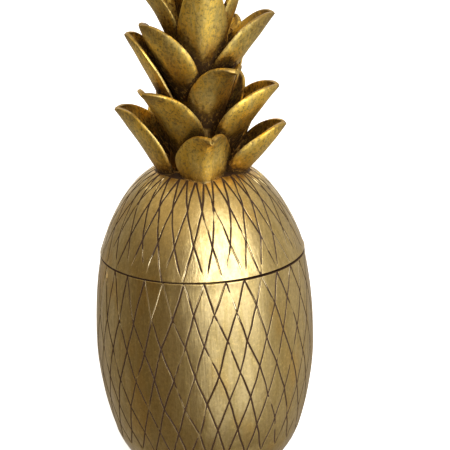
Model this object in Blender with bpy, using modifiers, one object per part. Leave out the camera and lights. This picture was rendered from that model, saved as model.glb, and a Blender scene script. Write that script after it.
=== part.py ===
"""A lidded pineapple jar, cast in resin and leafed in antique gold.

It is two castings. The jar is a hollow barrel with a carved lattice of tall diamonds. The lid is a
hollow dome with the same lattice, and the crown of leaves is cast on it in one. The lid lifts straight
off, and a lip under it drops into the jar's mouth.

Metres, +Z up, front towards -Y, origin at the centre of the foot. Azimuths are measured from the
front, positive towards +X.
"""
import bpy
import bmesh
from math import cos, sin, pi, radians, atan2, hypot
from mathutils import Matrix, Vector

MM = 0.001
MERGE = 0.01 * MM
SLIVER = 0.03 * MM

# Turned outline of the barrel: it swells from a small foot to the belly, then draws in to the seam
BELLY_RADIUS = 60 * MM
BELLY_HEIGHT = 68 * MM
FOOT_RADIUS = 36 * MM
FOOT_ROUNDING = 1.2 * MM
LOWER_TURN = 1.53          # how slowly the side starts to draw in below the belly
LOWER_ROUND = 4.9          # how squarely it turns under at the foot
SEAM_HEIGHT = 120 * MM
SEAM_RADIUS = 55.4 * MM
UPPER_TURN = 2.4

# Turned outline of the lid's dome
DOME_RADIUS = 55.6 * MM
DOME_RISE = 50 * MM        # from the seam to where the dome would close
DOME_ROUND = 3.0
DOME_TURN = 1.13
DOME_TOP_RADIUS = 24 * MM  # the dome ends here, under the leaves
JOINT_GAP = 0.3 * MM       # the lid's rim stands this far off the jar's rim
LID_RIM = SEAM_HEIGHT + JOINT_GAP

# Walls, and the lip that centres the lid
WALL = 5 * MM
FLOOR = 7 * MM
FLOOR_FILLET = 5 * MM
LIP_DEPTH = 5 * MM
LIP_WALL = 4 * MM
LIP_CLEARANCE = 0.8 * MM
LIP_RADIUS = SEAM_RADIUS - WALL - LIP_CLEARANCE
CAVITY_SEGMENTS = 24
JAR_CAVITY_RINGS = 4
LID_CAVITY_SHARES = (0.86, 0.70, 0.52, 0.34)

# Carved lattice: two sets of spiral grooves cross at every half row. The carver's rows of crossings
# aren't level on the jar: they climb and dip round it, each by its own share, counted from the seam
COLUMNS = 32
HALF_ROW = 16.8 * MM
JAR_HALF_ROWS = 6
LID_HALF_ROWS = 3
BAND_FOOT = SEAM_HEIGHT - JAR_HALF_ROWS * HALF_ROW
SWAY_CLIMB = 6.85 * MM
SWAY_DIP = 3.2 * MM
SWAY_OF_ROW = (0.0, 1.0, 1.0, 0.95, 0.8, 0.6, 0.0)
GROOVE_DEPTH = 0.5 * MM
GROOVE_HALF_WIDTH = 0.6 * MM
FOOT_RINGS = 3

# Crown: a tapering stem that the leaves hide, from the top down as (radius, height)
STEM_OUTLINE = [(4 * MM, 262 * MM), (7 * MM, 245 * MM), (10 * MM, 225 * MM), (13 * MM, 200 * MM),
                (15 * MM, 180 * MM), (17 * MM, 160 * MM)]
STEM_SEGMENTS = 10
LEAF_THICKNESS = 2.6 * MM
LEAF_ROWS = 5
LEAF_COLUMNS = 4
LEAF_TUCK = 0.10           # share of a leaf's length that runs down into what carries it
LEAF_ROOT_WIDTH = 0.62
LEAF_WIDEST = 0.42
LEAF_TAPER = 0.62
LEAF_KEEL = 1.0 * MM
LEAF_TIP_HALF = 1.6 * MM   # half width of the blunt tip
LEAF_TIGHTEST = 5 * MM     # smallest radius that a leaf is cupped to, near its tip
SPINE_STEPS = 24

# How a kind of leaf is shaped: its full width, the half angle of its cup at the root and at the tip,
# how late along its length it leans out, and how blunt its tip is
LEAF_KINDS = {
    "wrapped": {"width": 43 * MM, "cup": (75, 50), "late": 1.1, "blunt": 2.4},
    "open": {"width": 35 * MM, "cup": (60, 32), "late": 1.1, "blunt": 2.4},
    "folded": {"width": 34 * MM, "cup": (60, 46), "late": 2.1, "blunt": 1.6},
    "upright": {"width": 27 * MM, "cup": (55, 37), "late": 1.2, "blunt": 2.0},
}

# One line for each leaf, from the dome up: its kind, the azimuth in degrees, the height and radius of
# its root and its length in mm, and how far its root and its tip lean out from upright in degrees
CROWN = [
    ("folded", 7.5, 163, 22.9, 35, 1, 84),
    ("wrapped", 78.7, 163, 20.3, 39.4, 46.5, 34),
    ("wrapped", 148, 163, 20, 41, 36, 42),
    ("wrapped", -156, 163, 20, 42, 34, 42),
    ("wrapped", -91.6, 162, 18.5, 45.7, 28, 38),
    ("open", -42.5, 174, 14, 50.5, 13, 53),
    ("wrapped", 76.1, 178.2, 16.7, 44.2, 33, 40),
    ("wrapped", 150, 176, 14, 44, 30, 38),
    ("wrapped", -164, 177, 14, 46, 30, 38),
    ("folded", 37, 192, 13, 43, 12, 77),
    ("wrapped", -82.3, 195, 13.4, 52.3, 22.2, 29),
    ("wrapped", 150, 194, 12, 48, 26, 34),
    ("wrapped", -140, 192, 12, 42, 24, 30),
    ("wrapped", -58.4, 206.3, 10.6, 48.4, 28.3, 25),
    ("wrapped", 88.4, 208.8, 9.4, 51.9, 36.5, 37),
    ("wrapped", 178, 207, 10, 48, 22, 30),
    ("upright", 14, 219.5, 12.8, 61.5, 13.5, 9.5),
    ("upright", 74.2, 223, 8.9, 51.8, 21, 18.7),
    ("upright", 147, 204, 11, 48, 32, 45),
    ("upright", -140, 223, 9, 52, 18, 24),
    ("upright", -78.3, 224, 7, 52, 19.7, 34.8),
    ("upright", 44, 240, 6, 50, 7, 18),
    ("upright", 168, 241, 6, 50, 6, 17),
    ("upright", -56, 242, 6, 50, 6, 16),
    ("upright", 104, 254, 4, 47, 2, 9),
    ("upright", -110, 254, 4, 46, 2, 9),
]


def clear_scene():
    for found in list(bpy.data.objects):
        bpy.data.objects.remove(found, do_unlink=True)


def make_collection(name):
    collection = bpy.data.collections.new(name)
    bpy.context.scene.collection.children.link(collection)
    return collection


def add_object(name, mesh, collection, material=None):
    made = bpy.data.objects.new(name, mesh)
    if material:
        mesh.materials.append(material)
    collection.objects.link(made)
    return made


def mark_as_cutter(cutter):
    cutter.hide_render = True
    cutter.display_type = 'WIRE'


def gold_leaf(name, colour, roughness):
    """Antique gold leaf over the casting."""
    material = bpy.data.materials.new(name)
    material.use_nodes = True
    shader = material.node_tree.nodes["Principled BSDF"]
    shader.inputs["Base Color"].default_value = (*colour, 1.0)
    shader.inputs["Metallic"].default_value = 1.0
    shader.inputs["Roughness"].default_value = roughness
    return material


# Outlines of the turned body

def jar_radius(height):
    """Outer radius of the barrel at a height."""
    if height >= BELLY_HEIGHT:
        share = (height - BELLY_HEIGHT) / (SEAM_HEIGHT - BELLY_HEIGHT)
        return BELLY_RADIUS - (BELLY_RADIUS - SEAM_RADIUS) * share ** UPPER_TURN
    foot_share = (1 - (FOOT_RADIUS / BELLY_RADIUS) ** LOWER_ROUND) ** (1 / LOWER_TURN)
    share = (BELLY_HEIGHT - height) / BELLY_HEIGHT
    return BELLY_RADIUS * (1 - (share * foot_share) ** LOWER_TURN) ** (1 / LOWER_ROUND)


def jar_outline(share, azimuth):
    """Radius and height of the jar's carved band, from the foot band (0) to the seam (1)."""
    row = round((1 - share) * JAR_HALF_ROWS)
    sway = SWAY_CLIMB * sin(azimuth) - SWAY_DIP * (1 - cos(2 * azimuth))
    height = BAND_FOOT + (SEAM_HEIGHT - BAND_FOOT) * share + sway * SWAY_OF_ROW[row]
    return jar_radius(height), height


def dome_radius(height):
    """Outer radius of the lid's dome at a height."""
    share = (height - LID_RIM) / DOME_RISE
    return DOME_RADIUS * (1 - share ** DOME_TURN) ** (1 / DOME_ROUND)


def dome_line(steps=120):
    """The dome from its rim to its top, as (length along it, radius, height)."""
    line = [(0.0, DOME_RADIUS, LID_RIM)]
    for step in range(1, steps):
        turn = step / steps * pi / 2
        radius = DOME_RADIUS * cos(turn) ** (2 / DOME_ROUND)
        height = LID_RIM + DOME_RISE * sin(turn) ** (2 / DOME_TURN)
        length, last_radius, last_height = line[-1]
        line.append((length + hypot(radius - last_radius, height - last_height), radius, height))
        if radius < DOME_TOP_RADIUS:
            break
    return line


DOME_LINE = dome_line()


def lid_outline(share, azimuth=0.0):
    """Radius and height of the lid's carved band, by length from the seam (0) to the crown (1).

    It is the same at every azimuth.
    """
    wanted = share * DOME_LINE[-1][0]
    for low, high in zip(DOME_LINE, DOME_LINE[1:]):
        if high[0] >= wanted:
            part = (wanted - low[0]) / (high[0] - low[0])
            return low[1] + (high[1] - low[1]) * part, low[2] + (high[2] - low[2]) * part
    return DOME_LINE[-1][1:]


# The carved lattice

def around(radius, azimuth, height):
    """A point at an azimuth, in radians from the front."""
    return Vector((radius * sin(azimuth), -radius * cos(azimuth), height))


def azimuth_of(point):
    return atan2(point.x, -point.y)


def rolled_lattice(half_rows):
    """A tube of radius 1 and height 1 whose faces are the diamonds between two sets of spirals.

    Each cell of a grid gets a point at its middle, and the cell edges are then dissolved, which
    leaves one tall diamond over each edge. An odd number of half rows is cut off at the last one.
    """
    cells = (half_rows + 1) // 2
    bm = bmesh.new()
    bmesh.ops.create_grid(bm, x_segments=COLUMNS, y_segments=cells, size=0.5)
    for vert in bm.verts:
        share = (vert.co.y + 0.5) * 2 * cells / half_rows
        vert.co = around(1.0, (vert.co.x + 0.5) * 2 * pi, share)
    bmesh.ops.remove_doubles(bm, verts=bm.verts, dist=MERGE)
    cell_edges = bm.edges[:]
    bmesh.ops.poke(bm, faces=bm.faces[:])
    inner = [edge for edge in cell_edges if not edge.is_boundary]
    bmesh.ops.dissolve_edges(bm, edges=inner, use_verts=False)
    if 2 * cells > half_rows:
        everything = bm.verts[:] + bm.edges[:] + bm.faces[:]
        bmesh.ops.bisect_plane(bm, geom=everything, dist=MERGE, plane_co=(0, 0, 1.0),
                               plane_no=(0, 0, 1), clear_outer=True)
    return bm


def carve_lattice(bm, outline, crowned):
    """Wrap the tube on an outline and inset each diamond, so the grooves lie below the surface.

    A crowned diamond also gets a point at its middle, which follows the swell of the body.
    """
    for vert in bm.verts:
        azimuth = azimuth_of(vert.co)
        radius, height = outline(min(max(vert.co.z, 0.0), 1.0), azimuth)
        vert.co = around(radius - GROOVE_DEPTH, azimuth, height)
    bmesh.ops.recalc_face_normals(bm, faces=bm.faces[:])
    diamonds = bm.faces[:]
    bmesh.ops.inset_individual(bm, faces=diamonds, thickness=GROOVE_HALF_WIDTH, depth=GROOVE_DEPTH,
                               use_even_offset=True)
    if crowned:
        bmesh.ops.poke(bm, faces=diamonds)


def raise_to_outline(bm, radius_at, low, high):
    """Bring the diamonds onto the true outline, each point at its own height and azimuth."""
    for vert in bm.verts:
        if not low < vert.co.z < high:
            continue
        radius = radius_at(vert.co.z)
        if hypot(vert.co.x, vert.co.y) > radius - GROOVE_DEPTH / 2:
            vert.co = around(radius, azimuth_of(vert.co), vert.co.z)


def open_ring(bm, top):
    """The open edges at the top or at the bottom of a tube."""
    open_edges = [edge for edge in bm.edges if edge.is_boundary]
    heights = [vert.co.z for edge in open_edges for vert in edge.verts]
    middle = (min(heights) + max(heights)) / 2
    return [edge for edge in open_edges if (edge.verts[0].co.z > middle) == top]


def grow_ring(bm, edges, radius, height):
    """Extrude an open ring to a new radius and height, and return its new edges."""
    grown = bmesh.ops.extrude_edge_only(bm, edges=edges)["geom"]
    for item in grown:
        if isinstance(item, bmesh.types.BMVert):
            item.co = around(radius, azimuth_of(item.co), height)
    return [item for item in grown if isinstance(item, bmesh.types.BMEdge)]


def close_ring(bm, edges):
    bmesh.ops.holes_fill(bm, edges=edges, sides=0)


def finish_mesh(bm, name):
    bmesh.ops.remove_doubles(bm, verts=bm.verts[:], dist=MERGE)
    bmesh.ops.recalc_face_normals(bm, faces=bm.faces[:])
    mesh = bpy.data.meshes.new(name)
    bm.to_mesh(mesh)
    bm.free()
    return mesh


# Cutting and joining

def turned_solid(name, profile, collection, segments):
    """A closed turned solid from (radius, height) points given from the top down."""
    points = [(0.0, profile[0][1])] + profile + [(0.0, profile[-1][1])]
    edges = [(index, index + 1) for index in range(len(points) - 1)]
    mesh = bpy.data.meshes.new(name)
    mesh.from_pydata([(radius, 0.0, height) for radius, height in points], edges, [])
    solid = add_object(name, mesh, collection)
    screw = solid.modifiers.new("Turn", 'SCREW')
    screw.steps = segments
    screw.render_steps = segments
    screw.use_merge_vertices = True
    screw.merge_threshold = MERGE
    mark_as_cutter(solid)
    return solid


def cut(target, cutter):
    modifier = target.modifiers.new("Cut", 'BOOLEAN')
    modifier.operation = 'DIFFERENCE'
    modifier.solver = 'EXACT'
    modifier.object = cutter


def join(target, collection):
    """Join every solid of a collection to the target, and weld the slivers where leaves cross.

    The exact solver leaves open slivers between the crossing leaves, so this join is a manifold one.
    """
    modifier = target.modifiers.new("Join", 'BOOLEAN')
    modifier.operation = 'UNION'
    modifier.solver = 'MANIFOLD'
    modifier.operand_type = 'COLLECTION'
    modifier.collection = collection
    weld = target.modifiers.new("Weld slivers", 'WELD')
    weld.merge_threshold = SLIVER


# The jar

def jar_cavity():
    """Inside of the jar, from above the mouth down: the outer form moved in by the wall."""
    mouth = SEAM_RADIUS - WALL
    shoulder = SEAM_HEIGHT - LIP_DEPTH
    profile = [(mouth, SEAM_HEIGHT + WALL), (mouth, shoulder)]
    ring_step = (shoulder - FLOOR) / JAR_CAVITY_RINGS
    for ring in range(1, JAR_CAVITY_RINGS):
        height = shoulder - ring * ring_step
        profile.append((jar_radius(height) - WALL, height))
    profile.append((jar_radius(FLOOR) - WALL - FLOOR_FILLET, FLOOR))
    return profile


def make_jar(collection, cutters, material):
    """The barrel: a carved band, a plain foot below it, and the turned inside cut away."""
    bm = rolled_lattice(JAR_HALF_ROWS)
    carve_lattice(bm, jar_outline, crowned=True)
    raise_to_outline(bm, jar_radius, BAND_FOOT + MERGE, SEAM_HEIGHT - MERGE)
    close_ring(bm, open_ring(bm, top=True))
    ring = open_ring(bm, top=False)
    for step in range(1, FOOT_RINGS):
        height = BAND_FOOT * (1 - step / FOOT_RINGS)
        ring = grow_ring(bm, ring, jar_radius(height), height)
    ring = grow_ring(bm, ring, FOOT_RADIUS + FOOT_ROUNDING, FOOT_ROUNDING / 2)
    ring = grow_ring(bm, ring, FOOT_RADIUS - FOOT_ROUNDING, 0.0)
    close_ring(bm, ring)
    jar = add_object("jar", finish_mesh(bm, "jar"), collection, material)
    cut(jar, turned_solid("jar_cavity", jar_cavity(), cutters, CAVITY_SEGMENTS))


# The lid and its crown

def leaf_half_width(share, kind):
    """Half width of a leaf from its root (0) to its tip (1)."""
    if share < LEAF_WIDEST:
        rise = sin(pi / 2 * max(share, 0.0) / LEAF_WIDEST)
        part = LEAF_ROOT_WIDTH + (1 - LEAF_ROOT_WIDTH) * rise
    else:
        past = min((share - LEAF_WIDEST) / (1 - LEAF_WIDEST), 1.0)
        part = (1 - past ** kind["blunt"]) ** LEAF_TAPER
    return max(kind["width"] / 2 * part, LEAF_TIP_HALF)


def leaf_spine(share, length, lean_root, lean_tip, late):
    """How far out and up a leaf's middle line has gone at a share of its length, and its lean."""
    out = 0.0
    up = 0.0
    lean = radians(lean_root)
    for step in range(SPINE_STEPS):
        along = max((step + 0.5) / SPINE_STEPS * share, 0.0)
        lean = radians(lean_root + (lean_tip - lean_root) * along ** late)
        out += sin(lean) * length * share / SPINE_STEPS
        up += cos(lean) * length * share / SPINE_STEPS
    return out, up, lean


def leaf_point(across, share, leaf):
    """A point of a leaf that faces the front: across it from -1 to 1, along it from root to tip."""
    kind_name, azimuth, root_height, root_radius, length, lean_root, lean_tip = leaf
    kind = LEAF_KINDS[kind_name]
    out, up, lean = leaf_spine(share, length * MM, lean_root, lean_tip, kind["late"])
    half_width = leaf_half_width(share, kind)
    cup = radians(kind["cup"][0] + (kind["cup"][1] - kind["cup"][0]) * max(share, 0.0))
    bend = max(half_width / cup, LEAF_TIGHTEST)
    angle = half_width / bend * across
    inward = bend * (1 - cos(angle)) - LEAF_KEEL * (1 - abs(across)) ** 2
    from_axis = root_radius * MM + out - inward * cos(lean)
    height = root_height * MM + up + inward * sin(lean)
    return Matrix.Rotation(radians(azimuth), 4, 'Z') @ Vector((bend * sin(angle), -from_axis, height))


def make_leaf(index, leaf, collection):
    """One leaf: a grid bent along its length, cupped across, and given its thickness.

    The rows of the grid lie closer together towards the tip, where the outline turns most.
    """
    bm = bmesh.new()
    bmesh.ops.create_grid(bm, x_segments=LEAF_COLUMNS, y_segments=LEAF_ROWS, size=1.0)
    for vert in bm.verts:
        along = sin(pi / 4 * (vert.co.y + 1))
        vert.co = leaf_point(vert.co.x, (1 + LEAF_TUCK) * along - LEAF_TUCK, leaf)
    mesh = finish_mesh(bm, f"leaf_{index:02d}")
    made = add_object(mesh.name, mesh, collection)
    solidify = made.modifiers.new("Thickness", 'SOLIDIFY')
    solidify.thickness = LEAF_THICKNESS
    solidify.offset = 0.0
    mark_as_cutter(made)


def lid_cavity():
    """Inside of the lid, from the top down to below the lip, no wider than the lip's bore."""
    bore = LIP_RADIUS - LIP_WALL
    profile = []
    for share in LID_CAVITY_SHARES:
        radius, height = lid_outline(share)
        profile.append((min(radius - WALL, bore), height - WALL * share))
    profile.append((bore, LID_RIM))
    profile.append((bore, SEAM_HEIGHT - 2 * LIP_DEPTH))
    return profile


def make_lid(collection, cutters, leaves, material):
    """The dome with its lip, stem and leaves joined in one casting, and its inside cut away."""
    bm = rolled_lattice(LID_HALF_ROWS)
    carve_lattice(bm, lid_outline, crowned=False)
    raise_to_outline(bm, dome_radius, LID_RIM + MERGE, DOME_LINE[-1][2] - MERGE)
    close_ring(bm, open_ring(bm, top=True))
    ring = open_ring(bm, top=False)
    ring = grow_ring(bm, ring, LIP_RADIUS, LID_RIM)
    ring = grow_ring(bm, ring, LIP_RADIUS, SEAM_HEIGHT - LIP_DEPTH)
    close_ring(bm, ring)
    lid = add_object("lid", finish_mesh(bm, "lid"), collection, material)
    turned_solid("stem", STEM_OUTLINE, leaves, STEM_SEGMENTS)
    for index, leaf in enumerate(CROWN):
        make_leaf(index, leaf, leaves)
    join(lid, leaves)
    cut(lid, turned_solid("lid_cavity", lid_cavity(), cutters, CAVITY_SEGMENTS))


def build():
    clear_scene()
    pineapple = make_collection("pineapple_jar")
    cutters = make_collection("cutters")
    leaves = make_collection("crown_leaves")
    barrel_gold = gold_leaf("antique_gold_barrel", (0.55, 0.40, 0.17), 0.32)
    lid_gold = gold_leaf("antique_gold_lid", (0.58, 0.38, 0.10), 0.25)
    make_jar(pineapple, cutters, barrel_gold)
    make_lid(pineapple, cutters, leaves, lid_gold)


build()
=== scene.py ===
# %% [markdown]
# # A pineapple jar in antique gold
# This lesson dresses a decorative jar: a barrel with a lattice of carved grooves, and a lid that
# carries a crown of thick leaves. Both are castings covered with gold leaf and rubbed with brown wash.
# Solids of the right size exist already. They are loaded first, and each new piece is made in the
# same place, at the same size.

import random
from math import atan2, cos, hypot, pi, radians, sin

import bmesh
import bpy
from mathutils import Matrix, Vector, noise
from mathutils.bvhtree import BVHTree


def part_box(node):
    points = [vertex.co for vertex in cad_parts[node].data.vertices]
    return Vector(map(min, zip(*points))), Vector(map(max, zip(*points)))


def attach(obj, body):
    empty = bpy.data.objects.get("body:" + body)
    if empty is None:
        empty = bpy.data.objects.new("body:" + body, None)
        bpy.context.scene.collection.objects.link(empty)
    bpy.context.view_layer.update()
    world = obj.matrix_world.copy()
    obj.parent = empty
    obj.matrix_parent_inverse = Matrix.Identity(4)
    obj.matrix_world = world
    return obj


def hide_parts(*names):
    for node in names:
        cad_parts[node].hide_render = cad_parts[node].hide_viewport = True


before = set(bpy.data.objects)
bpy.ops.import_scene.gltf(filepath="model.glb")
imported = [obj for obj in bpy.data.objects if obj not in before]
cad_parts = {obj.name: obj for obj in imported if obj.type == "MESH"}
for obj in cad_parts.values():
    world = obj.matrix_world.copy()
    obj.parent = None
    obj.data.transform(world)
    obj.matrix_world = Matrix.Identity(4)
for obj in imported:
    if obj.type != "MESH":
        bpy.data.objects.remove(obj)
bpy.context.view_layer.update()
NOISE_SEED = 5
noise.seed_set(NOISE_SEED)  # noise vectors follow the clock unless a seed is set

# %% [markdown]
# The driving sizes come from the solids: how wide the belly is, how high the joint between jar and
# lid lies, and how deep the lid's lip hangs. The rest are the maker's own sizes, in metres.

# %% Sizes of the body
MM = 0.001
MERGE = 0.01 * MM        
jar_low, jar_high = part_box("jar")
lid_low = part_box("lid")[0]
BELLY_RADIUS = (jar_high[0] - jar_low[0]) / 2
SEAM_HEIGHT = jar_high[2]
LIP_DEPTH = SEAM_HEIGHT - lid_low[2]
# the barrel
BELLY_HEIGHT = 68 * MM
FOOT_RADIUS = 36 * MM
FOOT_ROUNDING = 1.2 * MM
LOWER_TURN = 1.53  # how slowly the side starts to draw in below the belly
LOWER_ROUND = 4.9  # how squarely it turns under at the foot
SEAM_RADIUS = 55.4 * MM
UPPER_TURN = 2.4
# the lid's dome
JOINT_GAP = 0.3 * MM
LID_RIM = SEAM_HEIGHT + JOINT_GAP
DOME_RADIUS = 55.6 * MM
DOME_RISE = 50 * MM
DOME_ROUND = 3.0
DOME_TURN = 1.13
DOME_TOP_RADIUS = 24 * MM
# walls and the lip under the lid
WALL = 5 * MM
FLOOR = 7 * MM
LIP_WALL = 4 * MM
LIP_PLAY = 0.8 * MM
LIP_RADIUS = SEAM_RADIUS - WALL - LIP_PLAY
EDGE = 0.5 * MM  # a cast edge is rounded by this much
# the brown line at the joint is brown wash and painted shade in the gap
RIM_SHADOW = 1.2 * MM  # the brown line at the joint reaches in this far
HUB_RADIUS = 10 * MM  # the last ring before the middle of a floor or ceiling
print("belly radius", round(BELLY_RADIUS, 4), "seam height", round(SEAM_HEIGHT, 4))

# %% [markdown]
# ## The camera
# The picture was taken from a little above, with a long lens, from a bit over a metre away. The
# camera is turned so that the jar's axis stands left of the middle, and rolled by two degrees,
# because the jar leans that much.

# %% Camera
VIEW_DISTANCE = 1.1
VIEW_ELEVATION = radians(19.1)
VIEW_ROLL = radians(1.9)
AIM_HEIGHT = 0.1198
FRAME_PIXELS = 450
SENSOR_MM = 36.0
FOCAL_PIXELS = 2026.0
AIM_PIXEL = (202.5, 249.5)


def place_camera():
    """Put the camera where the aimed point of the axis falls on its pixel."""
    back = Vector((0, -cos(VIEW_ELEVATION), sin(VIEW_ELEVATION)))
    position = Vector((0, 0, AIM_HEIGHT)) + back * VIEW_DISTANCE
    level_right = Vector((1, 0, 0))
    level_up = Vector((0, sin(VIEW_ELEVATION), cos(VIEW_ELEVATION)))
    right = level_right * cos(VIEW_ROLL) - level_up * sin(VIEW_ROLL)
    up = level_right * sin(VIEW_ROLL) + level_up * cos(VIEW_ROLL)
    middle = FRAME_PIXELS / 2
    forward = -back + right * ((middle - AIM_PIXEL[0]) / FOCAL_PIXELS)
    forward = (forward + up * ((AIM_PIXEL[1] - middle) / FOCAL_PIXELS)).normalized()
    right = (right - forward * right.dot(forward)).normalized()
    up = right.cross(forward)
    turn = Matrix((right, up, -forward)).transposed().to_4x4()
    bpy.ops.object.camera_add()
    camera = bpy.context.object
    camera.matrix_world = Matrix.Translation(position) @ turn
    camera.data.sensor_width = SENSOR_MM
    camera.data.lens = FOCAL_PIXELS / FRAME_PIXELS * SENSOR_MM
    bpy.context.scene.camera = camera
    return camera


camera = place_camera()
print("lens", round(camera.data.lens, 1), "mm at", tuple(round(v, 3) for v in camera.location))

# %% [markdown]
# ## The turned outline
# A pineapple jar is turned before it is carved and cast, so one curve gives its whole body. It turns
# under quickly at the foot, draws in slowly above the belly and closes like a blunt egg on the lid.

# %% Outline of the barrel
def jar_radius(height):
    """Outer radius of the barrel at a height."""
    if height >= BELLY_HEIGHT:
        share = (height - BELLY_HEIGHT) / (SEAM_HEIGHT - BELLY_HEIGHT)
        return BELLY_RADIUS - (BELLY_RADIUS - SEAM_RADIUS) * min(share, 1.0) ** UPPER_TURN
    foot_share = (1 - (FOOT_RADIUS / BELLY_RADIUS) ** LOWER_ROUND) ** (1 / LOWER_TURN)
    share = (BELLY_HEIGHT - height) / BELLY_HEIGHT
    return BELLY_RADIUS * (1 - (share * foot_share) ** LOWER_TURN) ** (1 / LOWER_ROUND)


def around(radius, azimuth, height):
    """A point at an azimuth measured from the front, in radians."""
    return Vector((radius * sin(azimuth), -radius * cos(azimuth), height))


def azimuth_of(point):
    return atan2(point.x, -point.y)


print("radius at mid height", round(jar_radius(SEAM_HEIGHT / 2), 4))

# %% [markdown]
# The dome turns over quickly, so its rows of carving are spaced by the length of the curve, which is
# followed in small steps.

# %% Outline of the dome
def dome_radius(height):
    """Outer radius of the lid's dome at a height."""
    share = min(max((height - LID_RIM) / DOME_RISE, 0.0), 1.0)
    return DOME_RADIUS * (1 - share ** DOME_TURN) ** (1 / DOME_ROUND)


def dome_line(steps=120):
    """The dome from rim to top, as (length along it, radius, height)."""
    line = [(0.0, DOME_RADIUS, LID_RIM)]
    for step in range(1, steps):
        turn = step / steps * pi / 2
        radius = DOME_RADIUS * cos(turn) ** (2 / DOME_ROUND)
        height = LID_RIM + DOME_RISE * sin(turn) ** (2 / DOME_TURN)
        length, last_radius, last_height = line[-1]
        line.append((length + hypot(radius - last_radius, height - last_height), radius, height))
        if radius < DOME_TOP_RADIUS:
            break
    return line


DOME_LINE = dome_line()
DOME_TOP = DOME_LINE[-1][2]


def dome_height(share, azimuth=0.0):
    """Height at a share of the dome's length. It is the same all round, unlike the barrel's."""
    wanted = share * DOME_LINE[-1][0]
    for low, high in zip(DOME_LINE, DOME_LINE[1:]):
        if high[0] >= wanted:
            return low[2] + (high[2] - low[2]) * (wanted - low[0]) / (high[0] - low[0])
    return DOME_TOP


print("the dome closes over", round(DOME_TOP - LID_RIM, 4), "m")

# %% [markdown]
# ## Small helpers
# An operator acts on all that is selected, so one object is picked alone each time. Values that vary
# over a surface, such as a groove's depth, are attributes of its points, and the finish reads them.

# %% Helpers
def pick(piece):
    """Select one object alone and make it active."""
    bpy.ops.object.select_all(action='DESELECT')
    piece.select_set(True)
    bpy.context.view_layer.objects.active = piece


def apply_modifiers(piece):
    pick(piece)
    for modifier in list(piece.modifiers):
        bpy.ops.object.modifier_apply(modifier=modifier.name)


def edit_layer(piece, name):
    """The edit mesh of a piece, with one of its float attributes."""
    edit = bmesh.from_edit_mesh(piece.data)
    return edit, edit.verts.layers.float[name]


def face_outwards():
    """Turn all faces of the edited piece outwards and leave edit mode."""
    bpy.ops.mesh.select_all(action='SELECT')
    bpy.ops.mesh.normals_make_consistent(inside=False)
    bpy.ops.object.mode_set(mode='OBJECT')


def select_where(piece, test, kind):
    """In edit mode, select only the faces, edges or points that pass a test."""
    edit = bmesh.from_edit_mesh(piece.data)
    bpy.ops.mesh.select_all(action='DESELECT')
    for item in getattr(edit, kind):
        item.select_set(bool(test(item)))
    edit.select_flush_mode()
    bmesh.update_edit_mesh(piece.data)


def store(piece, name, values):
    """Keep a float for each point of a piece. A single float is kept for all of them."""
    if isinstance(values, float):
        values = [values] * len(piece.data.vertices)
    layer = piece.data.attributes.get(name) or piece.data.attributes.new(name, 'FLOAT', 'POINT')
    layer.data.foreach_set("value", values)


print("helpers are ready")

# %% [markdown]
# ## The carved lattice
# Two sets of spiral grooves cross on the body and leave tall diamonds between them. The mesh is laid
# out along them: a grid is rolled into a tube, every cell gets a point in its middle, and the cell
# edges are dissolved, which leaves one diamond over each edge.

# %% Grid of diamonds
COLUMNS = 32
HALF_ROW = 16.8 * MM  # height between two rows of crossings
JAR_HALF_ROWS = 6
LID_HALF_ROWS = 3
BAND_FOOT = SEAM_HEIGHT - JAR_HALF_ROWS * HALF_ROW


def roll_grid(name, half_rows):
    """A grid rolled into a tube of radius 1 and height 1, with its two side edges merged."""
    cells = (half_rows + 1) // 2
    bpy.ops.mesh.primitive_grid_add(x_subdivisions=COLUMNS, y_subdivisions=cells, size=1.0)
    band = bpy.context.object
    band.name = name
    for vert in band.data.vertices:
        share = (vert.co.y + 0.5) * 2 * cells / half_rows
        vert.co = around(1.0, (vert.co.x + 0.5) * 2 * pi, share)
    bpy.ops.object.mode_set(mode='EDIT')
    bpy.ops.mesh.select_all(action='SELECT')
    bpy.ops.mesh.remove_doubles(threshold=MERGE)
    return band


def turn_into_diamonds(band):
    """Poke the cells and dissolve their edges, and cut the tube off at its full height."""
    bpy.ops.mesh.select_all(action='SELECT')
    bpy.ops.mesh.mark_seam(clear=False)
    bpy.ops.mesh.poke()
    bpy.ops.mesh.select_mode(type='EDGE')
    select_where(band, lambda edge: edge.seam and not edge.is_boundary, "edges")
    bpy.ops.mesh.dissolve_edges(use_verts=False)
    bpy.ops.mesh.select_all(action='SELECT')
    bpy.ops.mesh.mark_seam(clear=True)
    bpy.ops.mesh.bisect(plane_co=(0, 0, 1.0), plane_no=(0, 0, 1), clear_outer=True, threshold=1e-4)


print("lattice of", COLUMNS, "columns")

# %% [markdown]
# The real lines were cut by hand. The barrel's rows of crossings climb towards the right and drop at
# the left, and each crossing is slightly out of place.

# %% Crossings
SWAY_CLIMB = 6.85 * MM
SWAY_DIP = 3.2 * MM
SWAY_OF_ROW = (0.0, 1.0, 1.0, 0.95, 0.8, 0.6, 0.0)  # from the joint down
CROSSING_SLIP = 0.9 * MM
SLIP_ALONG = 1.4  # crossings slip this much more along the body than round it
BAND_ENDS = 0.01  # crossings in this share of the band at each end keep their height


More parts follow.
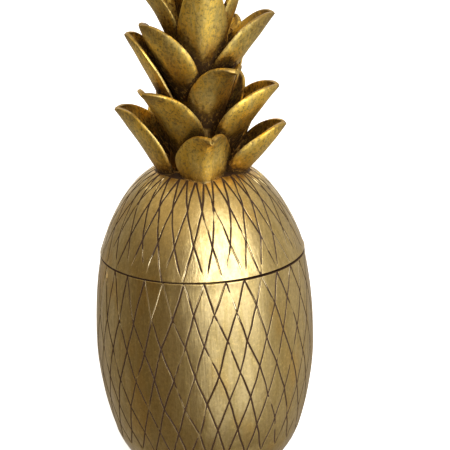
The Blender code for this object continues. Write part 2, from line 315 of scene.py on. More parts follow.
def place_crossings(band, height_at, radius_at, half_rows, seed):
    """Put the crossings on the body, a little out of place, and note on which row each one is."""
    chance = random.Random(seed)
    bpy.ops.object.mode_set(mode='OBJECT')
    mesh = band.data
    for name in ("groove", "gilt", "row"):
        mesh.attributes.new(name, 'FLOAT', 'POINT')
    for vert in mesh.vertices:
        share = min(max(vert.co.z, 0.0), 1.0)
        height = height_at(share, azimuth_of(vert.co))
        if BAND_ENDS < share < 1 - BAND_ENDS:
            height += chance.uniform(-SLIP_ALONG, SLIP_ALONG) * CROSSING_SLIP
        radius = radius_at(height)
        slip = chance.uniform(-1.0, 1.0) * CROSSING_SLIP / radius
        vert.co = around(radius, azimuth_of(vert.co) + slip, height)
        mesh.attributes["groove"].data[vert.index].value = 1.0
        mesh.attributes["row"].data[vert.index].value = share * half_rows


def barrel_height(share, azimuth):
    """Height on the barrel at a share of its band. The rows of crossings sway, more near the top."""
    row = round((1 - share) * JAR_HALF_ROWS)
    sway = SWAY_CLIMB * sin(azimuth) - SWAY_DIP * (1 - cos(2 * azimuth))
    return BAND_FOOT + (SEAM_HEIGHT - BAND_FOOT) * share + sway * SWAY_OF_ROW[row]


print("the rows climb by", SWAY_CLIMB, "m")

# %% [markdown]
# Each line has its own pressure, which wanders slowly along it. Some lines on the lid stop before its
# rim, and fresh gold covers some of those near the joint. Noise gives all of this.

# %% The carver's hand
PRESSURE = 0.86  # mean depth, as a share of the full depth
PRESSURE_SWING = 0.75
LIGHTEST = 0.25
BREAK_ABOVE = 0.42
BROKEN_DEPTH = 0.25
GILT_AT_RIM = 0.30
GILT_ROWS = 1.3
STOP_SWING = 0.55
STOP_MEAN = 0.22  # rows from the lid's rim at which a line fades out


def line_through(azimuth, row):
    """The groove that passes nearest to a place: its number, and +1 or -1 for its lean."""
    turn = azimuth / (2 * pi) * COLUMNS
    lines = []
    for lean in (1, -1):
        number = turn - lean * row / 2
        lines.append((abs(number - round(number)), round(number) % COLUMNS, lean))
    return min(lines)[1:]


def hand_of_carver(azimuth, row, seed, rim_row):
    """How deep a groove is at a place, and how much bright gold fills it."""
    number, lean = line_through(azimuth, row)
    own = Vector((number * 7.31, lean * 11.7 + seed * 5.3, row * 0.55))
    depth = min(max(PRESSURE + PRESSURE_SWING * noise.noise(own), LIGHTEST), 1.0)
    if noise.noise(own * 2.3 + Vector((0, 31, row * 0.8))) > BREAK_ABOVE:
        depth *= BROKEN_DEPTH
    gold = noise.noise(own * 1.3 + Vector((17, 0, 0)))
    gold += GILT_AT_RIM * max(GILT_ROWS - abs(row - rim_row), -0.6)
    if rim_row == 0:
        stop = STOP_SWING * noise.noise(Vector((number * 3.1, lean * 9.0, 4.4))) + STOP_MEAN
        depth *= min(max((row - stop) / 0.10, 0.0), 1.0)
    elif row < 0.01:
        depth = 0.0
    return depth, gold


print("depth of a line in front:", round(hand_of_carver(0.0, 2.0, 4, 6)[0], 2))

# %% [markdown]
# Insetting every diamond on its own gives each groove two thin strips, and a second inset gives the
# strips a worn shoulder. Then the lines are cut finely and the whole net is wrapped on the outline,
# with the grooves below it.

# %% Grooves
GROOVE_HALF_WIDTH = 0.58 * MM
GROOVE_SHOULDER = 0.30 * MM
GROOVE_DEPTH = 0.42 * MM
LINE_CUTS = 7
WANDER = 0.45  # in mm: how far the hand-made surface wanders along itself
WANDER_SCALE = 0.11
BAND_FADE = 4 * MM  # unevenness fades out this near the band's ends
LONG_SWELL = 0.20  # in mm, as are the next two
SHORT_SWELL = 0.06
SWELL_ROOM = 0.40  # keeps the swelling inside the solid's outline


def inset_diamonds(band, width):
    """Inset each diamond alone. The strips keep the groove's value, the diamonds drop it."""
    bpy.ops.mesh.select_mode(type='FACE')
    bpy.ops.mesh.inset(thickness=width, depth=0.0, use_individual=True, use_even_offset=True)
    edit, groove = edit_layer(band, "groove")
    inner = {vert for face in edit.faces if face.select for vert in face.verts}
    for vert in inner:
        vert[groove] = 0.0
    bmesh.update_edit_mesh(band.data)


def cut_lines_finely(band):
    """Subdivide along the grooves only, so strips stay thin and diamonds get an even net."""
    bpy.ops.mesh.select_mode(type='EDGE')
    shortest = 3 * (GROOVE_HALF_WIDTH + GROOVE_SHOULDER)
    select_where(band, lambda edge: edge.calc_length() > shortest, "edges")
    bpy.ops.mesh.subdivide(number_cuts=LINE_CUTS, smoothness=0.0)
    bpy.ops.object.mode_set(mode='OBJECT')


def sink_grooves(band, radius_at, low, high, seed, rim_row):
    """Wrap the fine net on the outline, with the grooves below it and a faint unevenness by hand."""
    groove = band.data.attributes["groove"].data
    gilt = band.data.attributes["gilt"].data
    rows = band.data.attributes["row"].data
    offset = Vector((seed * 3.7, seed * 1.3, 0.0))
    for vert in band.data.vertices:
        point = vert.co / MM
        free = min((vert.co.z - low) / BAND_FADE, (high - vert.co.z) / BAND_FADE, 1.0)
        free = max(free, 0.0)
        sway = noise.noise_vector(point * WANDER_SCALE + offset) * WANDER * MM
        height = vert.co.z + sway.z * free
        radius = radius_at(height)
        swell = (noise.noise(point * 0.06 + offset) * LONG_SWELL
                 + noise.noise(point * 0.2 - offset) * SHORT_SWELL - SWELL_ROOM)
        azimuth = azimuth_of(vert.co)
        if groove[vert.index].value > 0.0:
            pressure, gold = hand_of_carver(azimuth, rows[vert.index].value, seed, rim_row)
            groove[vert.index].value *= pressure
            gilt[vert.index].value = gold
        depth = GROOVE_DEPTH * groove[vert.index].value
        vert.co = around(radius + swell * MM * free - depth, azimuth + sway.x / radius, height)


print("grooves are", GROOVE_DEPTH, "m deep")

# %% [markdown]
# The band's edge at the joint is rounded, and washed brown, so the joint shows as a dark line. That
# line is brown wash and painted shade in the gap between jar and lid. In front it is lighter and
# thinner.

# %% Carve the barrel
RIM_EDGE = 0.55 * MM
RIM_DRAW = 0.5 * MM
JOINT_DARK_IN_FRONT = 0.12  # in front, where the line is thinnest
JOINT_DARK_BEHIND = 0.9
JOINT_LIGHTEST_AT = radians(5)


def round_the_rim(band, rim, inwards):
    """Add a ring of points just inside the rim at the joint, and draw the rim itself in."""
    bpy.ops.object.mode_set(mode='EDIT')
    bpy.ops.mesh.select_all(action='SELECT')
    bpy.ops.mesh.bisect(plane_co=(0, 0, rim + inwards), plane_no=(0, 0, 1), threshold=1e-7)
    bpy.ops.object.mode_set(mode='OBJECT')
    groove = band.data.attributes["groove"].data
    gilt = band.data.attributes["gilt"].data
    for vert in band.data.vertices:
        if abs(vert.co.z - rim) < MERGE:
            gilt[vert.index].value = -1.0
            azimuth = azimuth_of(vert.co)
            radius = hypot(vert.co.x, vert.co.y) + GROOVE_DEPTH * groove[vert.index].value
            vert.co = around(radius - RIM_DRAW, azimuth, rim)
            # the joint line's darkness: brown wash and painted shade in the gap, lighter towards the
            # front
            joint_darkness = JOINT_DARK_IN_FRONT + JOINT_DARK_BEHIND * abs(sin((azimuth - JOINT_LIGHTEST_AT) / 2))
            groove[vert.index].value = min(joint_darkness + 0.08 * noise.noise(vert.co / MM * 0.2), 1.0)


def lattice_band(name, half_rows, height_at, radius_at, low, high, seed, rim_row):
    """The whole carved band of one piece, open at its top and bottom."""
    band = roll_grid(name, half_rows)
    turn_into_diamonds(band)
    place_crossings(band, height_at, radius_at, half_rows, seed)
    bpy.ops.object.mode_set(mode='EDIT')
    bpy.ops.mesh.select_mode(type='FACE')
    bpy.ops.mesh.select_all(action='SELECT')
    inset_diamonds(band, GROOVE_HALF_WIDTH)
    inset_diamonds(band, GROOVE_SHOULDER)
    cut_lines_finely(band)
    sink_grooves(band, radius_at, low, high, seed, rim_row)
    if rim_row == 0:
        round_the_rim(band, low, RIM_EDGE)
    else:
        round_the_rim(band, high, -RIM_EDGE)
    print(name, "band:", len(band.data.polygons), "faces")
    return band


jar = lattice_band("jar_carved", JAR_HALF_ROWS, barrel_height, jar_radius, BAND_FOOT, SEAM_HEIGHT,
                   seed=4, rim_row=JAR_HALF_ROWS)

# %% [markdown]
# ## Rims, foot and inside
# The band is open above and below. Its open rings are extruded ring by ring, each to its own radius
# and height, over the rim, down the inside and across the floor, and the last ring is merged in its
# middle. That leaves one closed skin.

# %% Rings
SMOOTH_BELOW = radians(50)


def pick_top_ring(piece):
    """In edit mode, select the open edges at the top of a piece."""
    edit = bmesh.from_edit_mesh(piece.data)
    heights = [vert.co.z for edge in edit.edges if edge.is_boundary for vert in edge.verts]
    middle = (min(heights) + max(heights)) / 2
    select_where(piece, lambda edge: edge.is_boundary and edge.verts[0].co.z > middle, "edges")


def extrude_rings(piece, rings):
    """Extrude the selected open ring to each (radius, height, wash), and close the last one.

    The wash is how much brown the ring gets: brown wash, and at the joint painted shade in the gap
    too.
    """
    for radius, height, wash in rings:
        bpy.ops.mesh.extrude_edges_indiv()
        edit, groove = edit_layer(piece, "groove")
        for vert in edit.verts:
            if vert.select:
                vert.co = around(radius, azimuth_of(vert.co), height)
                vert[groove] = wash
        bmesh.update_edit_mesh(piece.data)
    bpy.ops.mesh.merge(type='CENTER')


def close_piece(piece, above, below):
    """Close the upper ring of a band and then the lower one, and shade the skin smooth."""
    pick(piece)
    bpy.ops.object.mode_set(mode='EDIT')
    bpy.ops.mesh.select_mode(type='EDGE')
    pick_top_ring(piece)
    extrude_rings(piece, above)
    bpy.ops.mesh.select_mode(type='EDGE')
    select_where(piece, lambda edge: edge.is_boundary, "edges")
    extrude_rings(piece, below)
    bpy.ops.mesh.select_all(action='SELECT')
    bpy.ops.mesh.remove_doubles(threshold=MERGE)
    face_outwards()
    bpy.ops.object.shade_smooth_by_angle(angle=SMOOTH_BELOW)


print("ready to close rings")

# %% [markdown]
# The jar gets its mouth, the wall inside, a floor with a rounded corner, and below the lattice a plain
# foot.

# %% Close the jar
INSIDE_STEPS = 9
FOOT_STEPS = 6


def jar_inside():
    """Rings over the jar's rim, down its wall and to the middle of its floor."""
    mouth = SEAM_RADIUS - WALL
    shoulder = SEAM_HEIGHT - LIP_DEPTH
    # the rings at the joint are dark: brown wash and painted shade in the gap
    rings = [(SEAM_RADIUS - RIM_SHADOW, SEAM_HEIGHT, 1.0), (mouth + EDGE, SEAM_HEIGHT, 0.3),
             (mouth, SEAM_HEIGHT - EDGE, 0.0), (mouth, shoulder, 0.0)]
    for step in range(1, INSIDE_STEPS):
        height = shoulder - (shoulder - FLOOR) * step / INSIDE_STEPS
        rings.append((jar_radius(height) - WALL, height, 0.0))
    corner = jar_radius(FLOOR) - WALL
    rings += [(corner - 1.5 * MM, FLOOR + 1.5 * MM, 0.0), (corner - 5 * MM, FLOOR, 0.0),
              (HUB_RADIUS, FLOOR, 0.0)]
    return rings


def jar_foot():
    """Rings from the band down the plain foot and across the underside."""
    rings = []
    for step in range(1, FOOT_STEPS):
        height = BAND_FOOT * (1 - step / FOOT_STEPS)
        rings.append((jar_radius(height), height, 0.0))
    rings += [(FOOT_RADIUS + FOOT_ROUNDING, FOOT_ROUNDING / 2, 0.1),
              (FOOT_RADIUS, FOOT_ROUNDING / 6, 0.4), (FOOT_RADIUS - FOOT_ROUNDING, 0.0, 0.4),
              (HUB_RADIUS, 0.0, 0.2)]
    return rings


close_piece(jar, jar_inside(), jar_foot())
print("jar:", len(jar.data.polygons), "faces")

# %% [markdown]
# ## The lid's dome
# The dome is carved the same way. Its grooves run together towards the crown, and several of them
# stop short of the rim, as they do on the real one. Under the rim a lip drops into the jar's mouth.
# The lid doesn't close quite evenly: its rim stands a little open at the right.

# %% Dome and lip
LID_CAVITY_SHARES = (0.34, 0.52, 0.70, 0.86)
RIM_LIFT = 0.7 * MM
RIM_LIFT_REACH = 2 * MM
RIM_OPENS_AT = radians(70)


def lid_inside():
    """Rings under the lid's rim, round the lip and up the inside of the dome."""
    bore = LIP_RADIUS - LIP_WALL
    lip_foot = SEAM_HEIGHT - LIP_DEPTH
    # the rings at the joint are dark: brown wash and painted shade in the gap
    rings = [(DOME_RADIUS - RIM_SHADOW, LID_RIM, 1.0), (LIP_RADIUS + EDGE, LID_RIM, 0.3),
             (LIP_RADIUS, LID_RIM - EDGE, 0.0), (LIP_RADIUS, lip_foot + EDGE, 0.0),
             (LIP_RADIUS - EDGE, lip_foot, 0.0), (bore + EDGE, lip_foot, 0.0),
             (bore, lip_foot + EDGE, 0.0), (bore, LID_RIM, 0.0)]
    for share in LID_CAVITY_SHARES:
        height = dome_height(share)
        rings.append((min(dome_radius(height) - WALL, bore), height - WALL * share, 0.0))
    rings.append((HUB_RADIUS, rings[-1][1], 0.0))
    return rings


def dome_top():
    """Rings that close the dome where the crown hides it."""
    return [(16 * MM, DOME_TOP + 1 * MM, 1.0), (8 * MM, DOME_TOP + 1.5 * MM, 1.0)]


def lift_rim(piece):
    """Raise the rim on one side, and what is just above it by less."""
    for vert in piece.data.vertices:
        above = (vert.co.z - LID_RIM) / RIM_LIFT_REACH
        if -0.1 < above < 1.0 and hypot(vert.co.x, vert.co.y) > LIP_RADIUS + MM:
            opening = max(cos(azimuth_of(vert.co) - RIM_OPENS_AT), 0.0)
            vert.co.z += RIM_LIFT * opening * (1 - max(above, 0.0))


lid = lattice_band("lid_carved", LID_HALF_ROWS, dome_height, dome_radius, LID_RIM, DOME_TOP,
                   seed=9, rim_row=0)
close_piece(lid, dome_top(), lid_inside())
lift_rim(lid)
print("dome:", len(lid.data.polygons), "faces")

# %% [markdown]
# ## The leaves
# Every leaf is a thick blade, bent along its length and cupped across it. There are four kinds. Their
# cups are half angles in degrees, at the root and at the tip. A late bend keeps a leaf straight until
# near its tip, and a blunt leaf stays wide for longer.

# %% Leaf kinds
LEAF_THICKNESS = 2.3 * MM
LEAF_ROWS = 16
LEAF_COLUMNS = 10
LEAF_TUCK = 0.10  # share of the length that runs down into what carries the leaf
LEAF_ROOT_WIDTH = 0.62
LEAF_WIDEST = 0.42
LEAF_TAPER = 0.62
LEAF_KEEL = 1.0 * MM  # depth of the crease down the middle
SHARP_KEEL = 2.6 * MM
LEAF_TIP_HALF = 1.6 * MM
SHARP_TIP_HALF = 0.7 * MM
LEAF_TIGHTEST = 5 * MM  # smallest radius of the cup
LEAF_UNEVEN = 0.5  # in mm
SPINE_STEPS = 24
LEAF_KINDS = {
    "wrapped": {"width": 43 * MM, "cup": (75, 50), "late": 1.1, "blunt": 2.4},
    "open": {"width": 35 * MM, "cup": (60, 32), "late": 1.1, "blunt": 2.4},
    "folded": {"width": 34 * MM, "cup": (60, 46), "late": 2.1, "blunt": 1.6},
    "upright": {"width": 27 * MM, "cup": (55, 37), "late": 1.2, "blunt": 2.0},
}
print("kinds of leaf:", ", ".join(LEAF_KINDS))

# %% [markdown]
# The list goes round the crown and upwards. Behind and at the top, where the picture shows nothing,
# the leaves go on in the same rhythm.

# %% Places of the leaves
# kind, azimuth in degrees, height and radius of the root and length in mm, lean at root and at tip
CROWN = [
    ("folded", 7.5, 163, 22.9, 35, 1, 84),
    ("wrapped", 78.7, 163, 20.3, 39.4, 46.5, 34),
    ("wrapped", 148, 163, 20, 41, 36, 42),
    ("wrapped", -156, 163, 20, 42, 34, 42),
    ("wrapped", -91.6, 162, 18.5, 45.7, 28, 38),
    ("open", -42.5, 174, 14, 50.5, 13, 53),
    ("wrapped", 76.1, 178.2, 16.7, 44.2, 33, 40),
    ("wrapped", 150, 176, 14, 44, 30, 38),
    ("wrapped", -164, 177, 14, 46, 30, 38),
    ("folded", 37, 192, 13, 43, 12, 77),
    ("wrapped", -82.3, 195, 13.4, 52.3, 22.2, 29),
    ("wrapped", 150, 194, 12, 48, 26, 34),
    ("wrapped", -140, 192, 12, 42, 24, 30),
    ("wrapped", -58.4, 206.3, 10.6, 48.4, 28.3, 25),
    ("wrapped", 88.4, 208.8, 9.4, 51.9, 36.5, 37),
    ("wrapped", 178, 207, 10, 48, 22, 30),
    ("upright", 14, 219.5, 12.8, 61.5, 13.5, 9.5),
    ("upright", 74.2, 223, 8.9, 51.8, 21, 18.7),
    ("upright", 147, 204, 11, 48, 32, 45),
    ("upright", -140, 223, 9, 52, 18, 24),
    ("upright", -78.3, 224, 7, 52, 19.7, 34.8),
    ("upright", 44, 240, 6, 50, 7, 18),
    ("upright", 168, 241, 6, 50, 6, 17),
    ("upright", -56, 242, 6, 50, 6, 16),
    ("upright", 104, 254, 4, 46.6, 2, 9),
    ("upright", -110, 254, 4, 46, 2, 9),
]
# the leaves in front have a turn of their own: number in the list, width in mm, cup at root and tip,
# lateness of the bend, bluntness, roll, twist, and the tip's side step in mm
OWN_TURN = {
    0: (35.2, 61, 45, 2.3, 1.0, 6, -3, 1.8),
    1: (42.5, 76, 48, 1.1, 1.8, 4, -2, 0.0),
    4: (45.6, 73, 51, 1.2, 2.5, -9, 14, 0.0),
    5: (38.0, 60, 32, 1.1, 2.4, -4, 0, -1.2),
    6: (47.4, 79, 55, 1.0, 2.0, 4, -2, -0.7),
    10: (32.1, 60, 40, 1.0, 3.4, -9, -1, 0.0),
    13: (44.5, 76, 54, 1.2, 2.2, -9, 4, 0.5),
    14: (41.8, 73, 52, 1.2, 2.7, -2, -2, 0.0),
    16: (29.0, 50, 35, 1.4, 1.3, -5, -4, -1.2),
    17: (26.1, 58, 35, 1.2, 1.9, 7, 3, 0.2),
    18: (22.0, 50, 35, 1.2, 2.6, 0, 0, 0.0),
    20: (26.2, 54, 40, 1.2, 2.5, -8, 19, 0.0),
}
SHARP_KEELED = (0,)
SHARP_TIPPED = (0, 5)


def leaf_form(index):
    """Width, cup, lateness, bluntness, roll, twist, side step, keel and tip of one leaf."""
    edges = {"keel": SHARP_KEEL if index in SHARP_KEELED else LEAF_KEEL,
             "tip": SHARP_TIP_HALF if index in SHARP_TIPPED else LEAF_TIP_HALF}
    if index in OWN_TURN:
        width, cup_root, cup_tip, late, blunt, roll, twist, side = OWN_TURN[index]
        return {"width": width * MM, "cup": (cup_root, cup_tip), "late": late, "blunt": blunt,
                "roll": roll, "twist": twist, "side": side * MM, **edges}
    turn = 6 * sin(index * 2.4)
    return {**LEAF_KINDS[CROWN[index][0]], "roll": turn, "twist": -turn, "side": 0.0, **edges}


print(len(CROWN), "leaves,", len(OWN_TURN), "with a turn of their own")

# %% [markdown]
# A point of a leaf follows from how far it is along the leaf and across it. The middle line leans out
# more and more, and the blade is bent round it like a gutter.

# %% Leaf shape
def leaf_half_width(share, form):
    """Half width of a leaf from its root (0) to its tip (1)."""
    if share < LEAF_WIDEST:
        rise = sin(pi / 2 * max(share, 0.0) / LEAF_WIDEST)
        part = LEAF_ROOT_WIDTH + (1 - LEAF_ROOT_WIDTH) * rise
    else:
        past = min((share - LEAF_WIDEST) / (1 - LEAF_WIDEST), 1.0)
        part = (1 - past ** form["blunt"]) ** LEAF_TAPER
    return max(form["width"] / 2 * part, form["tip"])


def leaf_spine(share, length, lean_root, lean_tip, late):
    """How far out and up a leaf's middle line has gone at a share of its length, and its lean."""
    out = 0.0
    up = 0.0
    lean = radians(lean_root)
    for step in range(SPINE_STEPS):
        along = max((step + 0.5) / SPINE_STEPS * share, 0.0)
        lean = radians(lean_root + (lean_tip - lean_root) * along ** late)
        out += sin(lean) * length * share / SPINE_STEPS
        up += cos(lean) * length * share / SPINE_STEPS
    return out, up, lean


def leaf_point(across, share, leaf, form, spine):
    """A point of a leaf: across it from -1 to 1, along it from its root to its tip."""
    azimuth, root_height, root_radius = leaf[1:4]
    out, up, lean = spine
    half_width = leaf_half_width(share, form)
    cup = radians(form["cup"][0] + (form["cup"][1] - form["cup"][0]) * max(share, 0.0))
    bend = max(half_width / cup, LEAF_TIGHTEST)
    angle = half_width / bend * across
    sideways = bend * sin(angle)
    inward = bend * (1 - cos(angle)) - form["keel"] * (1 - abs(across)) ** 2
    turn = radians(form["roll"] + form["twist"] * share)
    sideways, inward = (sideways * cos(turn) - inward * sin(turn),
                        sideways * sin(turn) + inward * cos(turn))
    sideways += form["side"] * share ** 2
    from_axis = root_radius * MM + out - inward * cos(lean)
    height = root_height * MM + up + inward * sin(lean)
    return Matrix.Rotation(radians(azimuth), 4, 'Z') @ Vector((sideways, -from_axis, height))


# %% [markdown]
# A leaf starts as a flat grid. Solidify gives the blade its thickness, and a subdivision rounds its
# rim, as on a cast leaf.

# %% Make the leaves
def bend_blade(blade, index, leaf, form):
    """Move a flat grid's points to the leaf's own, and keep how far along the leaf each one is."""
    length, lean_root, lean_tip = leaf[4:]
    drift = Vector((index * 1.7, index * -2.3, index * 0.9))
    shares = []
    for vert in blade.data.vertices:
        along = sin(pi / 4 * (vert.co.y + 1))
        share = (1 + LEAF_TUCK) * along - LEAF_TUCK
        shares.append(share)
        spine = leaf_spine(share, length * MM, lean_root, lean_tip, form["late"])
        point = leaf_point(vert.co.x, share, leaf, form, spine)
        vert.co = point + noise.noise_vector(point / MM * 0.09 + drift) * LEAF_UNEVEN * MM
    store(blade, "along", shares)


def make_leaf(index, leaf):
    """One leaf as a closed solid with a rounded rim."""
    bpy.ops.mesh.primitive_grid_add(x_subdivisions=LEAF_COLUMNS, y_subdivisions=LEAF_ROWS, size=2.0)
    blade = bpy.context.object
    blade.name = f"blade_{index:02d}"
    bend_blade(blade, index, leaf, leaf_form(index))
    bpy.ops.object.mode_set(mode='EDIT')
    face_outwards()
    thickness = blade.modifiers.new("Thickness", 'SOLIDIFY')
    thickness.thickness = LEAF_THICKNESS
    thickness.offset = 0.0
    rounding = blade.modifiers.new("Rounding", 'SUBSURF')
    rounding.levels = 1
    rounding.render_levels = 1
    apply_modifiers(blade)
    return blade


blades = [make_leaf(index, leaf) for index, leaf in enumerate(CROWN)]
print(len(blades), "leaves of", len(blades[0].data.polygons), "faces")

# %% [markdown]
# The leaves hide a tapering stem, which only has to fill the middle of the crown.

# %% Stem
STEM_SIDES = 32
STEM_OUTLINE = [(17 * MM, 160 * MM), (15 * MM, 180 * MM), (13 * MM, 200 * MM), (10 * MM, 225 * MM),
                (7 * MM, 245 * MM), (4 * MM, 262 * MM)]


def make_stem():
    """A disc that is extruded up to each height of the outline and drawn in to each radius."""
    bpy.ops.mesh.primitive_circle_add(vertices=STEM_SIDES, radius=STEM_OUTLINE[0][0], fill_type='NGON',
                                      location=(0, 0, STEM_OUTLINE[0][1]))
    stem = bpy.context.object
    stem.name = "stem"
    bpy.ops.object.transform_apply(location=True, rotation=True, scale=True)
    bpy.ops.object.mode_set(mode='EDIT')
    bpy.ops.mesh.select_all(action='SELECT')
    for (radius, height), (last_radius, last_height) in zip(STEM_OUTLINE[1:], STEM_OUTLINE):
        rise = {"value": (0, 0, height - last_height)}
        bpy.ops.mesh.extrude_region_move(TRANSFORM_OT_translate=rise)
        draw_in = radius / last_radius
        bpy.ops.transform.resize(value=(draw_in, draw_in, 1), center_override=(0, 0, height))
    face_outwards()
    return stem


stem = make_stem()
print("stem:", len(stem.data.polygons), "faces")

# %% [markdown]
# ## One casting
# Dome, stem and leaves came out of one mould, so they are joined with a Boolean union. Where leaves
# cross, it leaves long faces with many corners. They are cut into triangles here, so that no later
# step folds them over.

# %% Join the crown to the dome
CROWN_SMOOTH_BELOW = radians(45)


def join_casting(target, parts):
    together = bpy.data.collections.new("crown_parts")
    for part in parts:
        together.objects.link(part)
    union = target.modifiers.new("Casting", 'BOOLEAN')
    union.operation = 'UNION'
    union.solver = 'MANIFOLD'
    union.operand_type = 'COLLECTION'
    union.collection = together
    apply_modifiers(target)
    for part in parts:
        bpy.data.objects.remove(part, do_unlink=True)
    bpy.data.collections.remove(together)


def cut_many_sided(piece):
    """Merge points that coincide, then cut every face of more than four corners into triangles."""
    pick(piece)
    bpy.ops.object.mode_set(mode='EDIT')
    bpy.ops.mesh.select_mode(type='FACE')
    bpy.ops.mesh.select_all(action='SELECT')
    bpy.ops.mesh.remove_doubles(threshold=MERGE)
    bpy.ops.mesh.select_all(action='DESELECT')
    bpy.ops.mesh.select_face_by_sides(number=4, type='GREATER')
    bpy.ops.mesh.quads_convert_to_tris(quad_method='BEAUTY', ngon_method='BEAUTY')
    face_outwards()


for part in blades + [stem]:
    store(part, "groove", 0.0)
    store(part, "gilt", 0.0)
    store(part, "crown", 1.0)
for part in (lid, jar):
    store(part, "crown", 0.0)
for part in (lid, jar, stem):
    store(part, "along", 0.0)
join_casting(lid, blades + [stem])
cut_many_sided(lid)
pick(lid)
bpy.ops.object.shade_smooth_by_angle(angle=CROWN_SMOOTH_BELOW)
print("lid:", len(lid.data.polygons), "faces,", [a.name for a in lid.data.attributes])

# %% [markdown]
# ## Where the brown wash settles, and where shade and highlights are painted
# The maker brushes brown wash over the casting and wipes it off again, so it stays between the leaves
# and their rims are bright. The finish also paints shade into the colour in the hollows and where
# parts meet, and paints highlights on the rims. Three values for each point describe that: the share
# of rays from it that soon hit the casting, the share that hit it at once, and how sharply the surface
# bends outwards.

# %% Hollows
RAYS = 20
REACH = 22 * MM
SEAM_REACH = 3.5 * MM
OFF_SKIN = 0.05  # in mm: rays start this far off the surface
FAR_LOSS = 0.6
GOLDEN_ANGLE = 2.39996


def ray_directions(count):
    """Directions spread evenly over a half sphere about +Z, denser towards +Z."""
    turns = []
    for step in range(count):
        rise = ((step + 0.5) / count) ** 0.5
        flat = (1 - rise * rise) ** 0.5
        turn = step * GOLDEN_ANGLE
        turns.append(Vector((flat * cos(turn), flat * sin(turn), rise)))
    return turns


def measure_hollows(piece):
    """For each point, the share of rays that hit the piece nearby, and those that hit at once."""
    mesh = piece.data
    tree = BVHTree.FromPolygons([vert.co for vert in mesh.vertices],
                                [poly.vertices for poly in mesh.polygons])
    directions = ray_directions(RAYS)
    hollows = []
    seams = []
    for vert in mesh.vertices:
        turn = vert.normal.to_track_quat('Z', 'Y')
        start = vert.co + vert.normal * OFF_SKIN * MM
        closed = 0.0
        touching = 0.0
        for direction in directions:
            distance = tree.ray_cast(start, turn @ direction, REACH)[3]
            if distance is not None:
                closed += 1 - FAR_LOSS * distance / REACH
                touching += distance < SEAM_REACH
        hollows.append(closed / RAYS)
        seams.append(touching / RAYS)
    return hollows, seams


for piece in (jar, lid):
    hollows, seams = measure_hollows(piece)
    store(piece, "hollow", hollows)
    store(piece, "seam", seams)
print("deepest hollow:", round(max(hollows), 2))

# %% [markdown]
# A rim is found from the neighbours of a point: where they all fall away behind it, the surface bends
# outwards.

# %% Rims
RIM_SPREADS = 2


def measure_rims(piece):
    """For each point, how far its neighbours fall away behind it, spread to those neighbours."""
    edit = bmesh.new()
    edit.from_mesh(piece.data)
    values = []
    for vert in edit.verts:
        fall = 0.0
        for edge in vert.link_edges:
            step = edge.other_vert(vert).co - vert.co
            fall -= step.dot(vert.normal) / max(step.length, MERGE)
        values.append(max(fall / max(len(vert.link_edges), 1), 0.0))
    for _ in range(RIM_SPREADS):
        values = [(values[vert.index] + sum(values[edge.other_vert(vert).index]
                                            for edge in vert.link_edges))
                  / (1 + len(vert.link_edges)) for vert in edit.verts]
    edit.free()
    return values


for piece in (jar, lid):
    store(piece, "rim", measure_rims(piece))
print("measured", len(jar.data.vertices) + len(lid.data.vertices), "points")

# %% [markdown]
# ## Antique gold
# Gold leaf over brown resin isn't one colour. It is a pale metal with faint upright brush marks,
# warmer in random patches, olive where the wash left a film, and dark brown in the hollows. Painted
# warm reflection makes the hollows amber, and painted shade darkens them. The nodes mix those tones by
# the values kept in the mesh and by noise on its own coordinates.

# %% Node helpers
class Nodes:
    """Adds nodes to a material or a world and links them."""

    def __init__(self, name, world=None):
        self.owner = world or bpy.data.materials.new(name)
        self.owner.use_nodes = True
        self.tree = self.owner.node_tree
        self.shader = self.tree.nodes.get("Principled BSDF")
        places = self.tree.nodes.new("ShaderNodeTexCoord").outputs
        self.coordinates = places["Object"]
        self.directions = places["Generated"]

    def link(self, source, target):
        """Feed a socket from a number, a colour or another socket."""
        if isinstance(source, (int, float)):
            target.default_value = source
        elif isinstance(source, tuple):
            target.default_value = (*source, 1.0)
        else:
            self.tree.links.new(source, target)

    def add(self, kind, **sockets):
        """A new node with its inputs fed. An underscore in a name stands for a space."""
        node = self.tree.nodes.new("ShaderNode" + kind)
        for name, source in sockets.items():
            self.link(source, node.inputs[name.replace("_", " ")])
        return node

    def value(self, name):
        """A float attribute of the mesh."""
        node = self.add("Attribute")
        node.attribute_name = name
        return node.outputs["Fac"]

    def noise(self, scale, stretch, detail, rough=0.55):
        mapping = self.add("Mapping", Vector=self.coordinates)
        mapping.inputs["Scale"].default_value = stretch
        places = mapping.outputs["Vector"]
        node = self.add("TexNoise", Vector=places, Scale=scale, Detail=detail, Roughness=rough)
        return node.outputs["Fac"]

    def math(self, operation, first, second=0.0, clamp=False):
        node = self.add("Math")
        node.operation = operation
        node.use_clamp = clamp
        self.link(first, node.inputs[0])
        self.link(second, node.inputs[1])
        return node.outputs[0]

    def plus(self, first, second):
        return self.math('ADD', first, second)

    def times(self, first, second):
        return self.math('MULTIPLY', first, second)

    def larger(self, first, second):
        return self.math('MAXIMUM', first, second)

    def spread(self, source, low, high, to_low=0.0, to_high=1.0):
        """Map a range smoothly onto another."""
        node = self.add("MapRange", Value=source, From_Min=low, From_Max=high,
                        To_Min=to_low, To_Max=to_high)
        node.interpolation_type = 'SMOOTHSTEP'
        return node.outputs["Result"]

    def mix(self, share, first, second):
        node = self.add("Mix")
        node.data_type = 'RGBA'
        self.link(share, node.inputs["Factor"])
        self.link(first, node.inputs["A"])
        self.link(second, node.inputs["B"])
        return node.outputs["Result"]

    def bump(self, height, strength, distance, after=None):
        node = self.add("Bump", Height=height, Strength=strength, Distance=distance)
        if after:
            self.link(after, node.inputs["Normal"])
        return node.outputs["Normal"]


print("node helpers are ready")

# %% [markdown]
# The metal comes first. The body is paler than the burnished crown. A film of olive lies over both,
# and small spots and flecks break it up. Painted warm reflection, shade and highlights come in here
# too.

